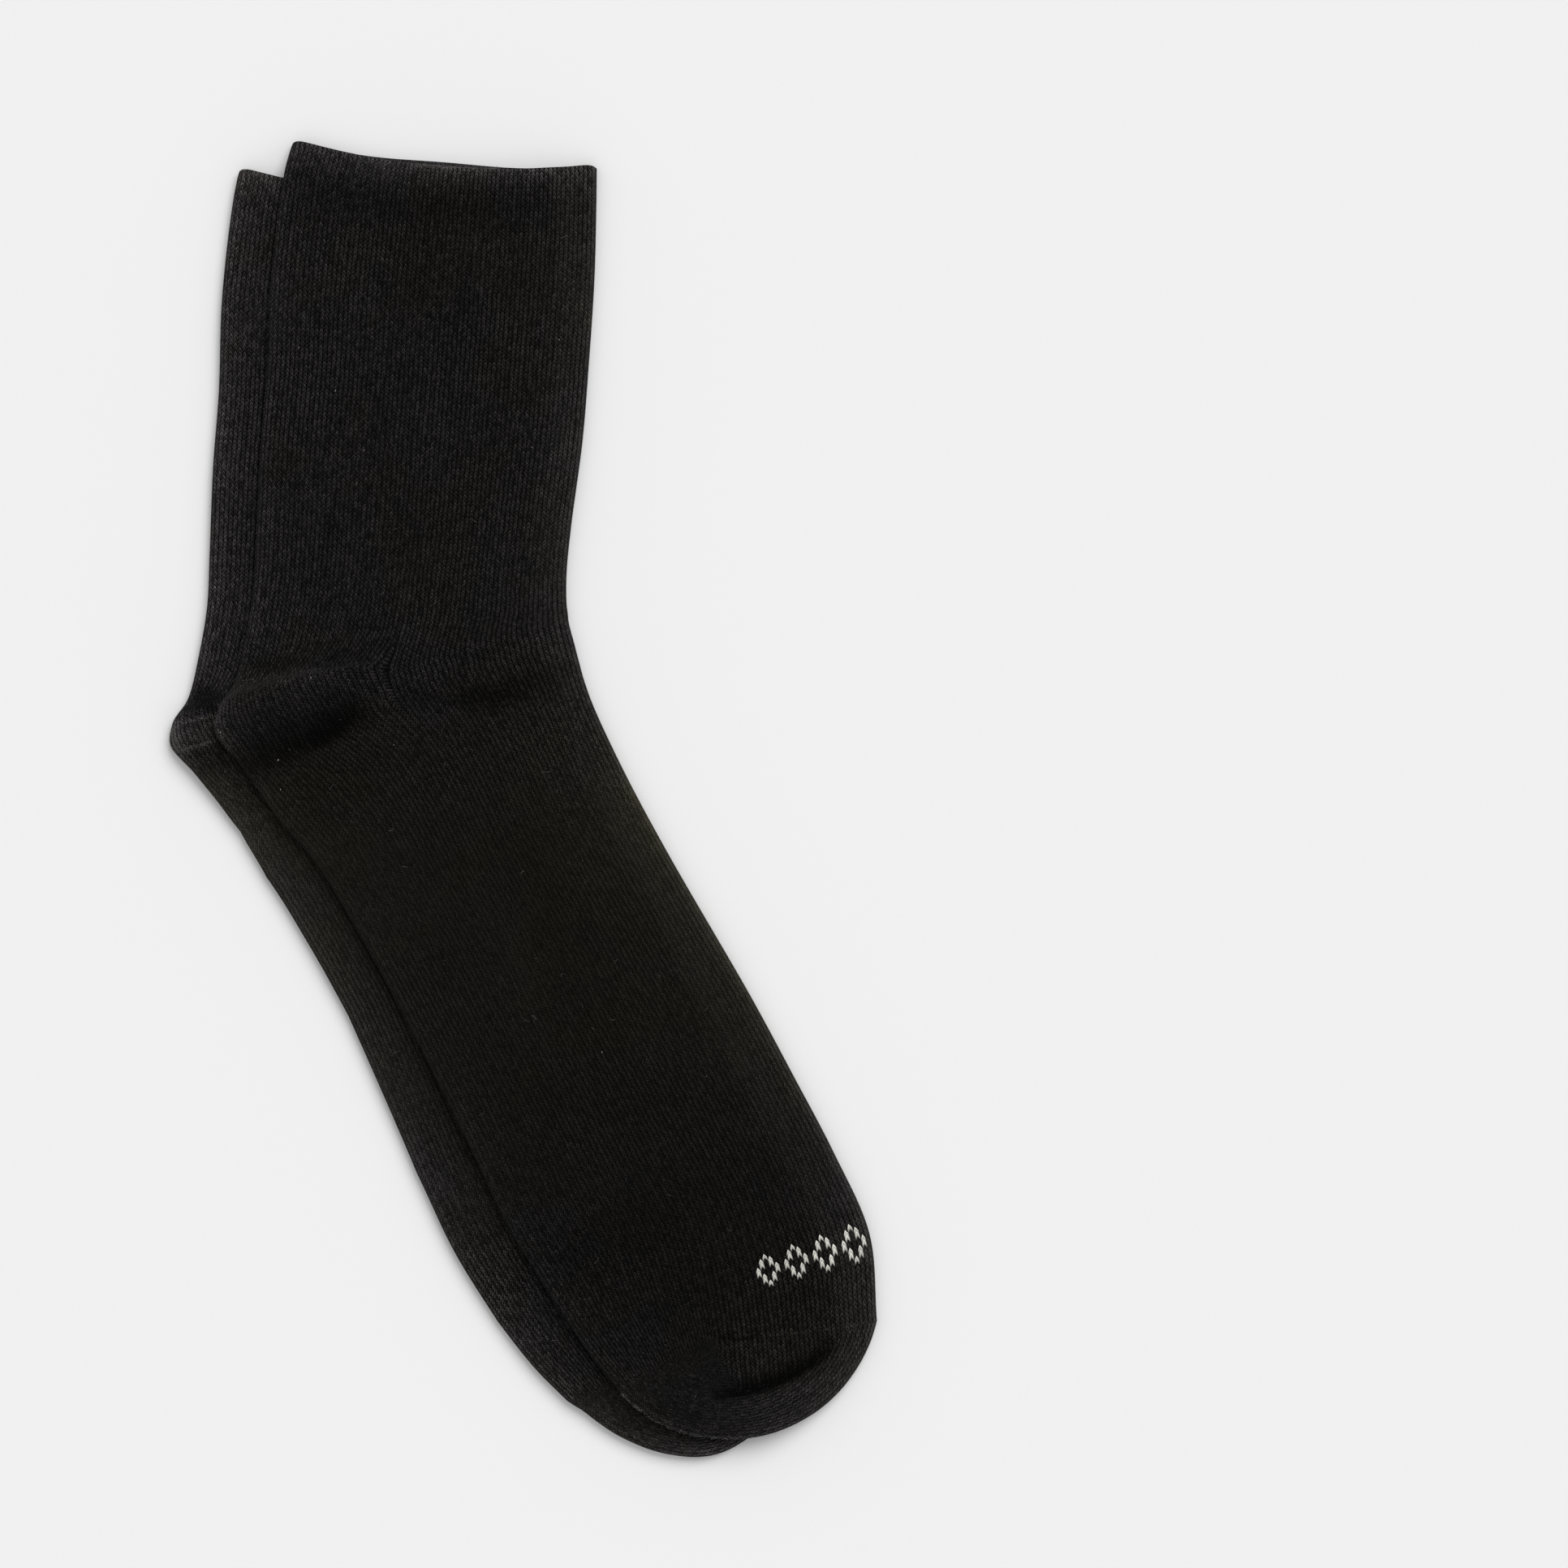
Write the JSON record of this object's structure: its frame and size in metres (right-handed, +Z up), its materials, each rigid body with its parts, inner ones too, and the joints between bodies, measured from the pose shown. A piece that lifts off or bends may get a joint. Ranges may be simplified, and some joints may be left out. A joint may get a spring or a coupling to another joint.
{
  "type": "pair of socks",
  "caption": "Plain knitted crew socks with mitred heels and linked toes, laid flat, one lying on the other.",
  "frame": {"origin": "bottom centre of the bounding box, on the surface that the pair lies on", "axes": "+Y towards the open cuffs, +X towards the toes' side, away from the heels, +Z up from the surface"},
  "size_m": [0.1826, 0.3406, 0.0102],
  "materials": {
    "black_cotton_knit": "matte fine jersey knit with a faint nap"
  },
  "bodies": {
    "root": {"under_sock": "black_cotton_knit", "top_sock": "black_cotton_knit"}
  },
  "joints": []
}
